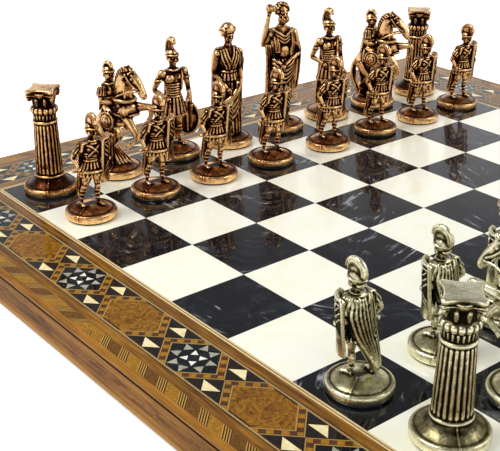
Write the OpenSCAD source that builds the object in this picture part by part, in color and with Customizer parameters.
// Chess set: an inlaid board with a marquetry border, and two armies of cast metal pieces.
// The origin is the centre of the board's underside and +Z is up.
// The silver army stands along -Y and the copper army along +Y. Each figure looks at the other side.

/* [Playing field] */
// Side of one playing square
square_w = 36; // [32:1:50]
// Glue line left between neighbouring squares, and in the mitres
glue_line = 0.06; // [0.04:0.01:0.12]

/* [Board] */
// Thickness of the board from its underside to its playing surface
board_t = 15.5; // [12:0.5:24]
// Thickness of the squares and of the marquetry
veneer_t = 1; // [0.6:0.1:2]
// Thickness of the plain sheet under the core
backing_t = 0.8; // [0.5:0.1:1.5]
// Depth of the shadow groove cut along the outer face of the edge rails
groove_depth = 0.6; // [0.3:0.1:1.2]
// Height of the shadow groove
groove_h = 0.7; // [0.4:0.1:1.2]
// Drop from the playing surface to the top of the groove
groove_drop = 1.8; // [1.2:0.1:3]
// Rounding left off the rails' upper outer corner
rail_chamfer = 0.5; // [0.2:0.1:1]
// Thickness of the felt feet
foot_t = 1.2; // [0.8:0.1:3]
// Diameter of the felt feet
foot_d = 18; // [12:1:30]
// Distance from the board's edge to the middle of a foot
foot_inset = 24; // [18:1:40]

/* [Border bands] */
// Cream line round the playing field
cream_line_w = 0.8; // [0.5:0.1:2]
// Dark hairline beside the cream line
hairline_w = 0.4; // [0.3:0.1:1]
// Pale bead beside the hairline
bead_w = 0.8; // [0.5:0.1:2]
// Golden brown strip inside the mosaic
inner_strip_w = 4.1; // [2:0.1:8]
// Dark line on each side of the mosaic
dark_line_w = 0.4; // [0.3:0.1:1]
// Light stringing on each side of the mosaic
stringing_w = 0.8; // [0.5:0.1:2]
// Mosaic band
mosaic_w = 20.4; // [20:0.2:24]
// Golden brown strip outside the mosaic
outer_strip_w = 4.1; // [2:0.1:8]
// Hatched band near the edge
hatched_w = 5.2; // [3:0.1:8]
// Thickness of the edge rails, which close the border
rail_t = 2.8; // [2:0.1:5]

/* [Mosaic] */
// Length of a burl panel along the border, from crossing to crossing
burl_panel_l = 41.4; // [38:0.6:48]
// Length of a star panel along the border, from crossing to crossing
star_panel_l = 36; // [32:0.5:44]
// Width of the banded strips that frame each panel
lattice_w = 3.4; // [2:0.1:5]
// Width of the burl hexagons and of the star plates across the border
plate_w = 19; // [16:0.2:19.6]
// Height of a bone triangle across the border
triangle_h = 4.6; // [3:0.1:6]
// Dark wood left beside a bone triangle's lower corners
triangle_margin = 0.6; // [0.3:0.1:1.5]
// Dark wood left between a bone triangle's point and the band's edge
point_margin = 0.3; // [0.1:0.1:1]
// Black pearl left between a star's tips and the edge of its plate
tip_margin = 0.3; // [0.2:0.1:0.8]
// Black pearl left between a star's tips and its pale middle
tip_gap = 1.2; // [0.6:0.1:2]
// Black pearl left on each side of a star's middle line
tip_split = 0.3; // [0.1:0.1:0.8]

/* [Pieces] */
// Height of a pawn
pawn_h = 50; // [44:1:54]
// Height of a rook
rook_h = 52; // [46:1:58]
// Height of a knight
knight_h = 58; // [52:1:62]
// Height of a bishop
bishop_h = 64; // [56:1:70]
// Height of a queen
queen_h = 68; // [60:1:74]
// Height of a king
king_h = 73; // [64:1:80]
// Diameter of a pawn's base
pawn_base_d = 24; // [20:0.5:26]
// Diameter of the other pieces' base
officer_base_d = 26; // [22:0.5:28]
// Height of the upright rim of a base
base_rim_h = 4.4; // [3:0.1:6]
// Height of the low dome that a figure stands on
base_dome_h = 6.4; // [5.5:0.1:8]
// Rounding of the rim's edges
base_edge = 0.8; // [0.4:0.1:1.2]
// Width of the dome's slope between the rim and its flat top
dome_slope_w = 3.4; // [2:0.1:4]

/* [Rook column] */
// Diameter of the fluted shaft at its foot
shaft_foot_d = 12.8; // [10:0.2:14]
// Diameter of the fluted shaft at its top
shaft_top_d = 11.4; // [9:0.2:12]
// Number of flutes
flutes = 20; // [12:1:24]
// Diameter of the cutter that makes a flute
flute_d = 1.3; // [0.8:0.1:1.5]
// Depth of a flute at the foot
flute_depth = 0.4; // [0.2:0.05:0.6]
// Plain ring left above and below the flutes
flute_margin = 1; // [0.5:0.1:2]
// Height of the round foot under the shaft
shaft_foot_h = 1.4; // [1:0.1:3]
// How far the foot stands out from the shaft
shaft_foot_step = 0.6; // [0.3:0.1:1]
// Height of the flared collar above the shaft
collar_h = 6.4; // [4:0.2:8]
// How far the collar flares out past the shaft
collar_flare = 1.6; // [0.8:0.1:2.4]
// Height of the leafy capital between the collar and the slab
capital_h = 8; // [6:0.2:10]
// How far the capital's neck draws in from the shaft
neck_in = 1.2; // [0.6:0.1:2]
// Width of the square slab on top
slab_w = 14; // [12:0.5:18]
// Thickness of the square slab
slab_t = 1.8; // [1.2:0.1:3]
// Depth of the hollow in each side of the slab
slab_hollow = 1.1; // [0.5:0.1:1.6]
// Radius of that hollow
slab_hollow_r = 16; // [12:0.5:24]
// Cut across the slab's corners
slab_corner = 0.7; // [0.3:0.1:1.2]
// Diameter of the scrolls under the slab's corners
scroll_d = 3; // [2:0.1:4]

/* [Hidden] */
squares = 8;
field_half = squares * square_w / 2;
top_z = foot_t + board_t;
veneer_z = top_z - veneer_t;

// Distance from the edge of the playing field to where each band ends
cream_end = cream_line_w;
hairline_end = cream_end + hairline_w;
bead_end = hairline_end + bead_w;
inner_strip_end = bead_end + inner_strip_w;
inner_dark_end = inner_strip_end + dark_line_w;
inner_light_end = inner_dark_end + stringing_w;
mosaic_end = inner_light_end + mosaic_w;
outer_light_end = mosaic_end + stringing_w;
outer_dark_end = outer_light_end + dark_line_w;
outer_strip_end = outer_dark_end + outer_strip_w;
hatched_end = outer_strip_end + hatched_w;
rail_end = hatched_end + rail_t;
core_half = field_half + hatched_end;
board_half = field_half + rail_end;

// The panels along one side of the border repeat about its middle
panel_pitch = burl_panel_l + star_panel_l;
side_reach = field_half + mosaic_end;
burl_count = ceil((side_reach - burl_panel_l / 2) / panel_pitch);
burl_middles = [for (n = [-burl_count:burl_count]) n * panel_pitch];
star_middles = [for (n = [-burl_count:burl_count - 1]) (n + 0.5) * panel_pitch];
crossings = [for (m = burl_middles) each [m - burl_panel_l / 2, m + burl_panel_l / 2]];
strip_run = lattice_w * sqrt(2);
star_point = star_panel_l / 2 - glue_line - strip_run;
// Where a star tip's peak lies, as a share of its straight side
tip_peak = 0.4;
// Where the inner corners of a star's pale triangles lie, as shares of their outer corner
heart_near = 0.14;
heart_far = 0.7;

// How far each figure stands from the middle of its square, in the order of the squares from -X to +X
copper_pawn_shift = [[0, 0], [2, 3.5], [0.5, 2.5], [1, 1.5], [3.5, -0.5], [4.5, 0.5], [2.5, 0], [3.5, 2]];
silver_pawn_shift = [[-3.5, 0.5], [0, -0.5], [0.5, 0.5], [0, 1], [-1, 0], [0.5, -1], [0, 0], [1, 0.5]];
copper_officer_shift = [[0.5, 3], [2.5, 2], [3.5, 4.5], [1, 1.5], [2.5, 2], [1.5, 1.5], [1.5, 0], [4, 1.5]];
silver_officer_shift = [[0, 0], [0, -1], [1, 0], [0, 0.5], [-0.5, 0], [0, 0], [0.5, -1], [0, 0]];

// Rows of the two armies, counted from the silver side
silver_officer_row = 0;
silver_pawn_row = 1;
copper_pawn_row = 6;
copper_officer_row = 7;
queen_column = 3;
king_column = 4;

copper = "#a4622f";
silver = "#a79f86";
walnut = "#8a5a2b";
golden_wood = "#a8752f";
ebony = "#2a1c1a";
maple = "#e6d6ae";
bone = "#efe3c3";
black_pearl = "#1d2028";
grey_pearl = "#9aa2a6";
cream_pearl = "#f1ecd6";

// A figure's feet reach this far into its base
touch = 0.3;
// In hundredths of a figure's stature
joint_swell = 1.1;
sheet_t = 0.01;
cloak_t = 3;
shield_t = 2.4;
crest_web_t = 2.2;
oval_sides = 12;

// One layer of the board between two heights
module layer(from_z, to_z) {
  translate([0, 0, from_z]) linear_extrude(to_z - from_z) children();
}

// Four mitred strips between two distances from the edge of the playing field
module mitred_strip(from, to) {
  near = field_half + from;
  far = field_half + to;
  cut = glue_line;
  polygon([[cut - near, near], [near - cut, near], [far - cut, far], [cut - far, far]]);
}

module each_side() {
  for (turn = [0:90:270]) rotate(turn) children();
}

module band(from, to) {
  layer(veneer_z, top_z) each_side() mitred_strip(from, to);
}

// Where a square's middle lies, counted from -X and from the silver side
function square_middle(column, row) =
  [(column + 0.5) * square_w - field_half, (row + 0.5) * square_w - field_half];

module playing_squares(parity) {
  layer(veneer_z, top_z)
    for (column = [0:squares - 1], row = [0:squares - 1])
      if ((column + row) % 2 == parity)
        translate(square_middle(column, row)) square(square_w - glue_line, center = true);
}

module core_panel() {
  color(golden_wood) layer(foot_t + backing_t, veneer_z) square(2 * core_half, center = true);
}

module backing_sheet() {
  color(walnut) layer(foot_t, foot_t + backing_t) square(2 * core_half, center = true);
}

module felt_feet() {
  place = board_half - foot_inset;
  color("#223322")
    layer(0, foot_t) for (x = [-place, place], y = [-place, place]) translate([x, y]) circle(d = foot_d);
}

// A mitred rail along +Y, with its groove and its softened upper corner
module edge_rail(turn) {
  groove_top = top_z - groove_drop;
  color(walnut) rotate(turn) difference() {
    layer(foot_t, top_z) mitred_strip(hatched_end, rail_end);
    translate([-board_half, board_half - groove_depth, groove_top - groove_h])
      cube([2 * board_half, 2 * groove_depth, groove_h]);
    translate([-board_half, board_half, top_z - rail_chamfer]) rotate([45, 0, 0])
      cube([2 * board_half, 2 * rail_chamfer, 2 * rail_chamfer]);
  }
}

// Draws on one side of the mosaic, with its middle line on the X axis, cut at the mitres
module mosaic_side() {
  middle = field_half + inner_light_end + mosaic_w / 2;
  intersection() {
    translate([0, middle]) children();
    mitred_strip(inner_light_end, mosaic_end);
  }
}

// A six-sided plate with its points on the middle line, cut to the slant of the strips around it
module six_sided(middles, panel_l) {
  point = panel_l / 2 - glue_line - strip_run;
  half = plate_w / 2;
  side = point - half;
  for (m = middles) translate([m, 0])
    polygon([[-point, 0], [-side, half], [side, half], [point, 0], [side, -half], [-side, -half]]);
}

module burl_shapes() {
  six_sided(burl_middles, burl_panel_l);
}

module star_plate_shapes() {
  six_sided(star_middles, star_panel_l);
}

// The eight tips of a star: two mirrored triangles in each of four directions
module tip_shapes() {
  reach = plate_w / 2 - tip_margin;
  offset = star_point - reach - tip_margin;
  inner = offset + tip_gap;
  peak = [tip_split, inner + (reach - inner) * tip_peak];
  for (m = star_middles, turn = [0:90:270], flip = [0, 1])
    translate([m, 0]) rotate(turn) mirror([flip, 0])
      polygon([[offset, reach], peak, [offset, inner]]);
}

// The four pale triangles inside the tips
module heart_shapes() {
  outer = star_point - plate_w / 2;
  near = outer * heart_near;
  far = outer * heart_far;
  for (m = star_middles, turn = [0:90:270])
    translate([m, 0]) rotate(turn) polygon([[outer, outer], [near, far], [far, near]]);
}

module triangle_shapes() {
  peak = mosaic_w / 2 - point_margin;
  foot = peak - triangle_h;
  half = foot - triangle_margin;
  for (m = crossings, flip = [0, 1])
    translate([m, 0]) mirror([0, flip]) polygon([[0, peak], [half, foot], [-half, foot]]);
}

// The strips that meet in a point at each end of a panel
module strip_shapes(middles, panel_l) {
  reach = mosaic_w / 2;
  point = panel_l / 2 - glue_line;
  inner = point - strip_run;
  for (m = middles, turn = [0, 180])
    translate([m, 0]) rotate(turn)
      polygon([
        [point, 0], [point - reach, reach], [inner - reach, reach],
        [inner, 0], [inner - reach, -reach], [point - reach, -reach]
      ]);
}

module lattice_shapes() {
  strip_shapes(burl_middles, burl_panel_l);
  strip_shapes(star_middles, star_panel_l);
}

module mosaic_layer() {
  layer(veneer_z, top_z) each_side() mosaic_side() children();
}

// The dark wood above and below each crossing, between the strips of two panels
module crossing_shapes() {
  reach = mosaic_w / 2;
  far = reach + glue_line;
  for (m = crossings)
    translate([m, 0])
      polygon([
        [glue_line, 0], [far, reach], [-far, reach],
        [-glue_line, 0], [-far, -reach], [far, -reach]
      ]);
}

// The thin dark strips between a plate's flats and the stringing
module flat_shapes(middles, panel_l) {
  reach = mosaic_w / 2;
  half = plate_w / 2;
  point = panel_l / 2 - glue_line - strip_run;
  for (m = middles, flip = [0, 1])
    translate([m, 0]) mirror([0, flip])
      polygon([[half - point, half], [point - half, half], [point - reach, reach], [reach - point, reach]]);
}

module mosaic_ground() {
  color(ebony) mosaic_layer() {
    flat_shapes(burl_middles, burl_panel_l);
    flat_shapes(star_middles, star_panel_l);
    difference() {
      crossing_shapes();
      triangle_shapes();
    }
  }
}

module star_plates() {
  color(black_pearl) mosaic_layer() difference() {
    star_plate_shapes();
    tip_shapes();
    heart_shapes();
  }
}

module light_squares() {
  color(cream_pearl) playing_squares(0);
}

module dark_squares() {
  color(black_pearl) playing_squares(1);
}

module lattice_strips() {
  color(maple) mosaic_layer() lattice_shapes();
}

module bone_triangles() {
  color(bone) mosaic_layer() triangle_shapes();
}

module burl_hexagons() {
  color(golden_wood) mosaic_layer() burl_shapes();
}

module star_tips() {
  color(grey_pearl) mosaic_layer() tip_shapes();
}

module star_hearts() {
  color(bone) mosaic_layer() heart_shapes();
}

module cream_line() {
  color(maple) band(0, cream_end);
}

module dark_lines() {
  color(ebony) {
    band(cream_end, hairline_end);
    band(inner_strip_end, inner_dark_end);
    band(outer_light_end, outer_dark_end);
  }
}

module inner_bead() {
  color(maple) band(hairline_end, bead_end);
}

module inner_strips() {
  color(golden_wood) band(bead_end, inner_strip_end);
}

module light_stringing() {
  color(maple) {
    band(inner_dark_end, inner_light_end);
    band(mosaic_end, outer_light_end);
  }
}

module outer_strips() {
  color(golden_wood) band(outer_dark_end, outer_strip_end);
}

module hatched_strips() {
  color("#5b3a20") band(outer_strip_end, hatched_end);
}

// A round base with an upright rim and a low dome
module base(d) {
  r = d / 2;
  inner_r = r - 2 * base_edge;
  rotate_extrude()
    polygon([
      [0, 0], [r - base_edge, 0], [r, base_edge], [r, base_rim_h - base_edge], [r - base_edge, base_rim_h],
      [inner_r, base_rim_h], [inner_r - dome_slope_w, base_dome_h], [0, base_dome_h]
    ]);
}

// A figure's points are given in hundredths of its stature, looking along +Y, with its right hand at +X
module stand(height) {
  stature = height - base_dome_h + touch;
  translate([0, 0, base_dome_h - touch]) scale(stature / 100) children();
}

// A tapered limb between two points
module limb(a, b, ra, rb) {
  run = b - a;
  rotated = [0, acos(run.z / norm(run)), atan2(run.y, run.x)];
  translate(a) rotate(rotated) cylinder(h = norm(run), r1 = ra, r2 = rb);
}

module ball(at, r) {
  translate(at) sphere(r);
}

// A chain of limbs through joints that each carry their own radius as a fourth number
module chain(joints) {
  for (n = [0:len(joints) - 2]) {
    a = joints[n];
    b = joints[n + 1];
    limb([a.x, a.y, a.z], [b.x, b.y, b.z], a[3], b[3]);
  }
  for (j = joints) ball([j.x, j.y, j.z], j[3] * joint_swell);
}

// A body part that blends from one oval slice to the next. An oval has its place along Y,
// its height, and its half width and half depth.
module tier(low, high) {
  hull() for (oval = [low, high])
    translate([0, oval[0], oval[1]]) linear_extrude(sheet_t)
      scale([oval[2], oval[3]]) circle(1, $fn = oval_sides);
}

// A thin cloak that hangs between two level bars, each given by its place along Y, height and half width
module cloak(top, bottom) {
  hull() for (bar = [top, bottom])
    translate([-bar[2], bar[0], bar[1]]) cube([2 * bar[2], cloak_t, cloak_t]);
}

// A tall bowed shield whose middle stands at a point, facing the given way
module tower_shield(at, turn, bow_r, angle, h) {
  translate(at) rotate(turn) translate([0, -bow_r, 0])
    rotate_extrude(angle = angle, start = 90 - angle / 2)
      translate([bow_r - shield_t, 0]) square([shield_t, h]);
}

// A crest that bends over a helmet from the brow to the nape, on a thin web
module crest(at, bend_r, r, from, angle) {
  translate(at) rotate([90, 0, 90]) {
    rotate_extrude(angle = angle, start = from) translate([bend_r, 0]) circle(r);
    rotate_extrude(angle = angle, start = from)
      translate([0, -crest_web_t / 2]) square([bend_r, crest_web_t]);
  }
}

// A foot soldier with a crested helmet, a hand on the hip, a tall shield and a long cape
module soldier() {
  chain([[5, 1, 31, 4.8], [6.4, 2, 17, 3.8], [7, 0, 3, 3]]);
  chain([[-5, 1, 31, 4.8], [-5.6, 1.5, 17, 3.8], [-6, -1, 3, 3]]);
  chain([[7, 0, 2.4, 2.4], [9, 7, 2, 1.8]]);
  chain([[-6, -1, 2.4, 2.4], [-8, 6, 2, 1.8]]);
  cloak([-9, 64, 9], [-12.5, 0, 12]);
  tier([0, 27, 12.5, 10], [0, 50, 7.5, 6]);
  tier([0, 50, 7.5, 6], [0, 67, 11, 7]);
  chain([[12.5, 0, 65, 4.4], [21.5, -4, 49, 3.2], [12.5, 4.5, 37, 2.8]]);
  chain([[-12.5, 0, 65, 4.4], [-16, -1, 50, 3]]);
  limb([0, 0, 66], [0, 0, 78], 4.4, 4);
  ball([0, 0.6, 81], 7.4);
  crest([0, -1, 84.5], 10, 3.6, 20, 175);
  tower_shield([-16.5, 5.5, 24], 34, 16, 84, 44);
}

module pawn() {
  base(pawn_base_d);
  stand(pawn_h) soldier();
}

// An officer with a tall plume, a breastplate, a pleated skirt, and an oval shield by the left leg
module officer() {
  chain([[4, 0, 32, 3.8], [5, 1.5, 17, 2.8], [5.5, 0, 2.4, 2.2]]);
  chain([[-4, 0, 32, 3.8], [-4.6, 1, 17, 2.8], [-5.2, -1, 2.4, 2.2]]);
  chain([[5.5, 0, 2, 1.8], [7, 6.5, 1.8, 1.5]]);
  chain([[-5.2, -1, 2, 1.8], [-7, 5.5, 1.8, 1.5]]);
  tier([0, 30, 10, 8.5], [0, 48, 6.2, 5.2]);
  tier([0, 48, 6.2, 5.2], [0, 64, 10.5, 6.6]);
  tier([0, 64, 10.5, 6.6], [0, 71, 6, 4]);
  chain([[12, 0, 67, 3.8], [17.5, -3, 53, 2.6], [7, 5, 43.5, 2.3]]);
  chain([[-12, 0, 67, 3.8], [-15, -1, 51, 2.6], [-16, 3, 34, 2.3]]);
  limb([0, 0, 69], [0, 0, 78], 3, 2.8);
  ball([0, 0.8, 81], 5.4);
  limb([0, 0, 80], [0, 0, 87], 5.8, 4);
  limb([0, 0.2, 85], [0, 0.8, 95], 2.2, 1.7);
  crest([0, -3.6, 93.4], 4.4, 2.2, 0, 180);
  limb([0, -8, 94.4], [0, -8.6, 76], 1.8, 1.3);
  translate([-14.6, -2, 22]) rotate([0, 90, 55]) cylinder(h = 2.4, r = 13.5, center = true);
  limb([-15.6, 5, 39], [-14.6, -9, 24], 1.4, 1);
  cloak([-8, 66, 6], [-11, 0, 8]);
}

module bishop() {
  base(officer_base_d);
  stand(bishop_h) officer();
}

// A woman in a long belted dress and a cloak, who gathers a drape low in front of her
module lady() {
  tier([0, 0, 11.5, 10], [0, 34, 9, 8]);
  tier([0, 34, 9, 8], [0, 57, 7, 5.6]);
  tier([0, 57, 7, 5.6], [0, 72, 9.4, 6]);
  tier([0, 72, 9.4, 6], [0, 77.5, 5, 4]);
  cloak([-9, 70, 9], [-13, 0, 11.5]);
  chain([[11, 0, 72, 3.8], [13.4, -1, 54, 2.9], [4, 8, 40, 2.2]]);
  chain([[-11, 0, 72, 3.7], [-13.6, -1.5, 56.5, 3], [-6, 7.5, 50.6, 2.3]]);
  chain([[9, 7, 30, 2.8], [-1, 10, 35, 2.8], [-8.5, 6.5, 48, 2.6]]);
  limb([0, 0, 76], [0, 0, 84], 2.9, 2.6);
  ball([0, 1, 87.5], 5);
  ball([0, -0.8, 92.2], 7.4);
}

module queen() {
  base(officer_base_d);
  stand(queen_h) lady();
}

// A bearded ruler in a draped cloth, with a raised fist and a staff
module ruler() {
  chain([[4, 1, 32, 3.8], [4.6, 3, 17, 2.9], [5, 1, 2.4, 2.2]]);
  chain([[-4, 0, 32, 3.8], [-4.6, 1, 17, 2.9], [-5, -1, 2.4, 2.2]]);
  chain([[5, 1, 2, 1.8], [6.4, 7, 1.8, 1.5]]);
  chain([[-5, -1, 2, 1.8], [-6.6, 5.5, 1.8, 1.5]]);
  tier([0, 28, 9.4, 8], [0, 56, 7, 5.6]);
  tier([0, 56, 7, 5.6], [0, 72, 9.8, 6]);
  tier([0, 72, 9.8, 6], [0, 79, 5, 4]);
  cloak([-8.5, 71, 9], [-12, 0, 10.5]);
  chain([[10.5, 0, 74, 3.6], [15, -1, 64, 3.6], [11.4, 3, 88, 2.7]]);
  ball([11, 3.4, 92], 3.8);
  limb([11.5, 1, 0], [11.5, 2, 66], 2, 1.7);
  chain([[-10.5, 0.4, 73.6, 3.6], [-17, -0.6, 58, 3], [-6.6, 7.4, 46.6, 2.3]]);
  chain([[-15.5, -2, 61, 3.4], [-15, -2, 45, 4], [-11, 0, 31, 2.4]]);
  chain([[8, 5, 52, 2.4], [0, 8, 45, 2.6], [-8, 6, 45.5, 2.4]]);
  limb([0, 0, 77], [0, 0, 86], 3, 2.8);
  ball([0, 1.2, 89.6], 5.2);
  ball([0, 3.2, 86], 4);
  ball([0, -0.3, 93.6], 6.2);
}

module king() {
  base(officer_base_d);
  stand(king_h) ruler();
}

// A rearing horse with its head drawn in, and its rider in a crested helmet and a cape
module rider() {
  chain([[0, -12, 40, 9], [0, 6, 56, 8.4]]);
  chain([[0, 6, 60, 7], [0, 7.5, 76, 5.2], [0, 12, 86, 4.2], [0, 21.5, 78, 3.6], [0, 27, 66, 2.8]]);
  for (side = [-1, 1]) {
    limb([side * 2.4, 11, 88], [side * 2.8, 10, 94], 1.5, 0.6);
    hock = side * 6.6;
    chain([[side * 5, -13, 38, 6], [hock, -4, 23, 4], [hock, -13, 11, 2.6], [hock, -10, 1.5, 2.8]]);
    chain([[side * 6, -5, 57, 3.6], [side * 10, 5, 49, 3.4], [side * 10.5, 3, 33, 2.4]]);
    chain([[side * 9, -6, 75, 3.2], [side * 11.5, -4, 64, 2.5], [side * 4, 4, 61, 2.2]]);
  }
  chain([[3.5, 11, 54, 4], [5, 26, 54, 2.6], [5, 24, 41, 2]]);
  chain([[-4, 9, 50, 4], [-5, 21, 39, 2.6], [-5, 13, 31, 2]]);
  chain([[0, -20, 42, 2.6], [0, -22, 22, 3.4], [0, -17, 1, 3.4]]);
  tier([-6, 52, 7, 6], [-6, 66, 6, 4.6]);
  tier([-6, 66, 6, 4.6], [-6, 77, 8.4, 5]);
  limb([0, -6, 76], [0, -6, 86], 2.8, 2.6);
  ball([0, -5.4, 88], 5.4);
  crest([0, -6.4, 91.2], 6.2, 2.4, 25, 170);
  cloak([-12, 75, 7], [-24, 42, 9]);
}

module knight() {
  base(officer_base_d);
  stand(knight_h) rider();
}

// The shaft between two heights, with its flutes cut along its taper
module fluted_shaft(from_z, to_z) {
  foot_r = shaft_foot_d / 2;
  top_r = shaft_top_d / 2;
  run = to_z - from_z;
  difference() {
    translate([0, 0, from_z]) cylinder(h = run, r1 = foot_r, r2 = top_r);
    for (n = [0:flutes - 1]) rotate(n * 360 / flutes)
      translate([foot_r + flute_d / 2 - flute_depth, 0, from_z + flute_margin])
        rotate([0, -atan((foot_r - top_r) / run), 0]) cylinder(h = run - 2 * flute_margin, d = flute_d);
  }
}

// The square slab with its four hollow sides and blunt corners
module slab() {
  corner = slab_w / sqrt(2) - slab_corner;
  linear_extrude(slab_t) difference() {
    square(slab_w, center = true);
    for (turn = [0:90:270]) rotate(turn)
      translate([slab_w / 2 - slab_hollow + slab_hollow_r, 0]) circle(slab_hollow_r);
    for (turn = [45:90:315]) rotate(turn) translate([corner, -slab_w / 2]) square(slab_w);
  }
}

// A fluted column with a leafy capital under a hollow-sided slab
module rook() {
  foot_r = shaft_foot_d / 2;
  top_r = shaft_top_d / 2;
  foot_z = base_dome_h + shaft_foot_h;
  slab_z = rook_h - slab_t;
  neck_z = slab_z - capital_h;
  shaft_top_z = neck_z - collar_h;
  step = shaft_foot_step;
  collar_r = top_r + collar_flare;
  capital_r = slab_w / 2 - slab_hollow - step;
  base(officer_base_d);
  translate([0, 0, base_dome_h]) cylinder(h = shaft_foot_h, r1 = foot_r + 2 * step, r2 = foot_r + step);
  fluted_shaft(foot_z, shaft_top_z);
  translate([0, 0, shaft_top_z]) rotate_extrude()
    polygon([
      [0, 0], [top_r + step, 0], [top_r + step, step], [top_r, 2 * step], [collar_r, collar_h - 2 * step],
      [collar_r, collar_h - step], [top_r - neck_in, collar_h], [top_r - neck_in, collar_h + step],
      [capital_r, collar_h + capital_h], [0, collar_h + capital_h]
    ]);
  for (turn = [45:90:315]) rotate(turn)
    translate([slab_w / 2, 0, slab_z - scroll_d / 2]) rotate([90, 0, 0])
      cylinder(h = scroll_d, d = scroll_d, center = true);
  translate([0, 0, slab_z]) slab();
}

// Sets a piece on its square. A copper piece is turned to look along -Y.
module set_on(column, row, shift, turn) {
  middle = square_middle(column, row);
  translate([middle.x + shift.x, middle.y + shift.y, top_z]) rotate(turn) children();
}

module copper_pawn(n) {
  color(copper) set_on(n, copper_pawn_row, copper_pawn_shift[n], 180) pawn();
}

module silver_pawn(n) {
  color(silver) set_on(n, silver_pawn_row, silver_pawn_shift[n], 0) pawn();
}

module copper_officer(column) {
  color(copper) set_on(column, copper_officer_row, copper_officer_shift[column], 180) children();
}

module silver_officer(column) {
  color(silver) set_on(column, silver_officer_row, silver_officer_shift[column], 0) children();
}

core_panel();
backing_sheet();
felt_feet();
edge_rail(180);  // edge_rail_near
edge_rail(0);  // edge_rail_far
edge_rail(90);  // edge_rail_left
edge_rail(270);  // edge_rail_right
light_squares();
dark_squares();
cream_line();
dark_lines();
inner_bead();
inner_strips();
light_stringing();
outer_strips();
hatched_strips();
mosaic_ground();
lattice_strips();
bone_triangles();
burl_hexagons();
star_plates();
star_tips();
star_hearts();
for (n = [0:7]) copper_pawn(n);
for (n = [0:7]) silver_pawn(n);
copper_officer(0) rook();  // copper_rook_1
copper_officer(1) knight();  // copper_knight_1
copper_officer(2) bishop();  // copper_bishop_1
copper_officer(queen_column) queen();  // copper_queen
copper_officer(king_column) king();  // copper_king
copper_officer(5) bishop();  // copper_bishop_2
copper_officer(6) knight();  // copper_knight_2
copper_officer(7) rook();  // copper_rook_2
silver_officer(0) rook();  // silver_rook_1
silver_officer(1) knight();  // silver_knight_1
silver_officer(2) bishop();  // silver_bishop_1
silver_officer(queen_column) queen();  // silver_queen
silver_officer(king_column) king();  // silver_king
silver_officer(5) bishop();  // silver_bishop_2
silver_officer(6) knight();  // silver_knight_2
silver_officer(7) rook();  // silver_rook_2
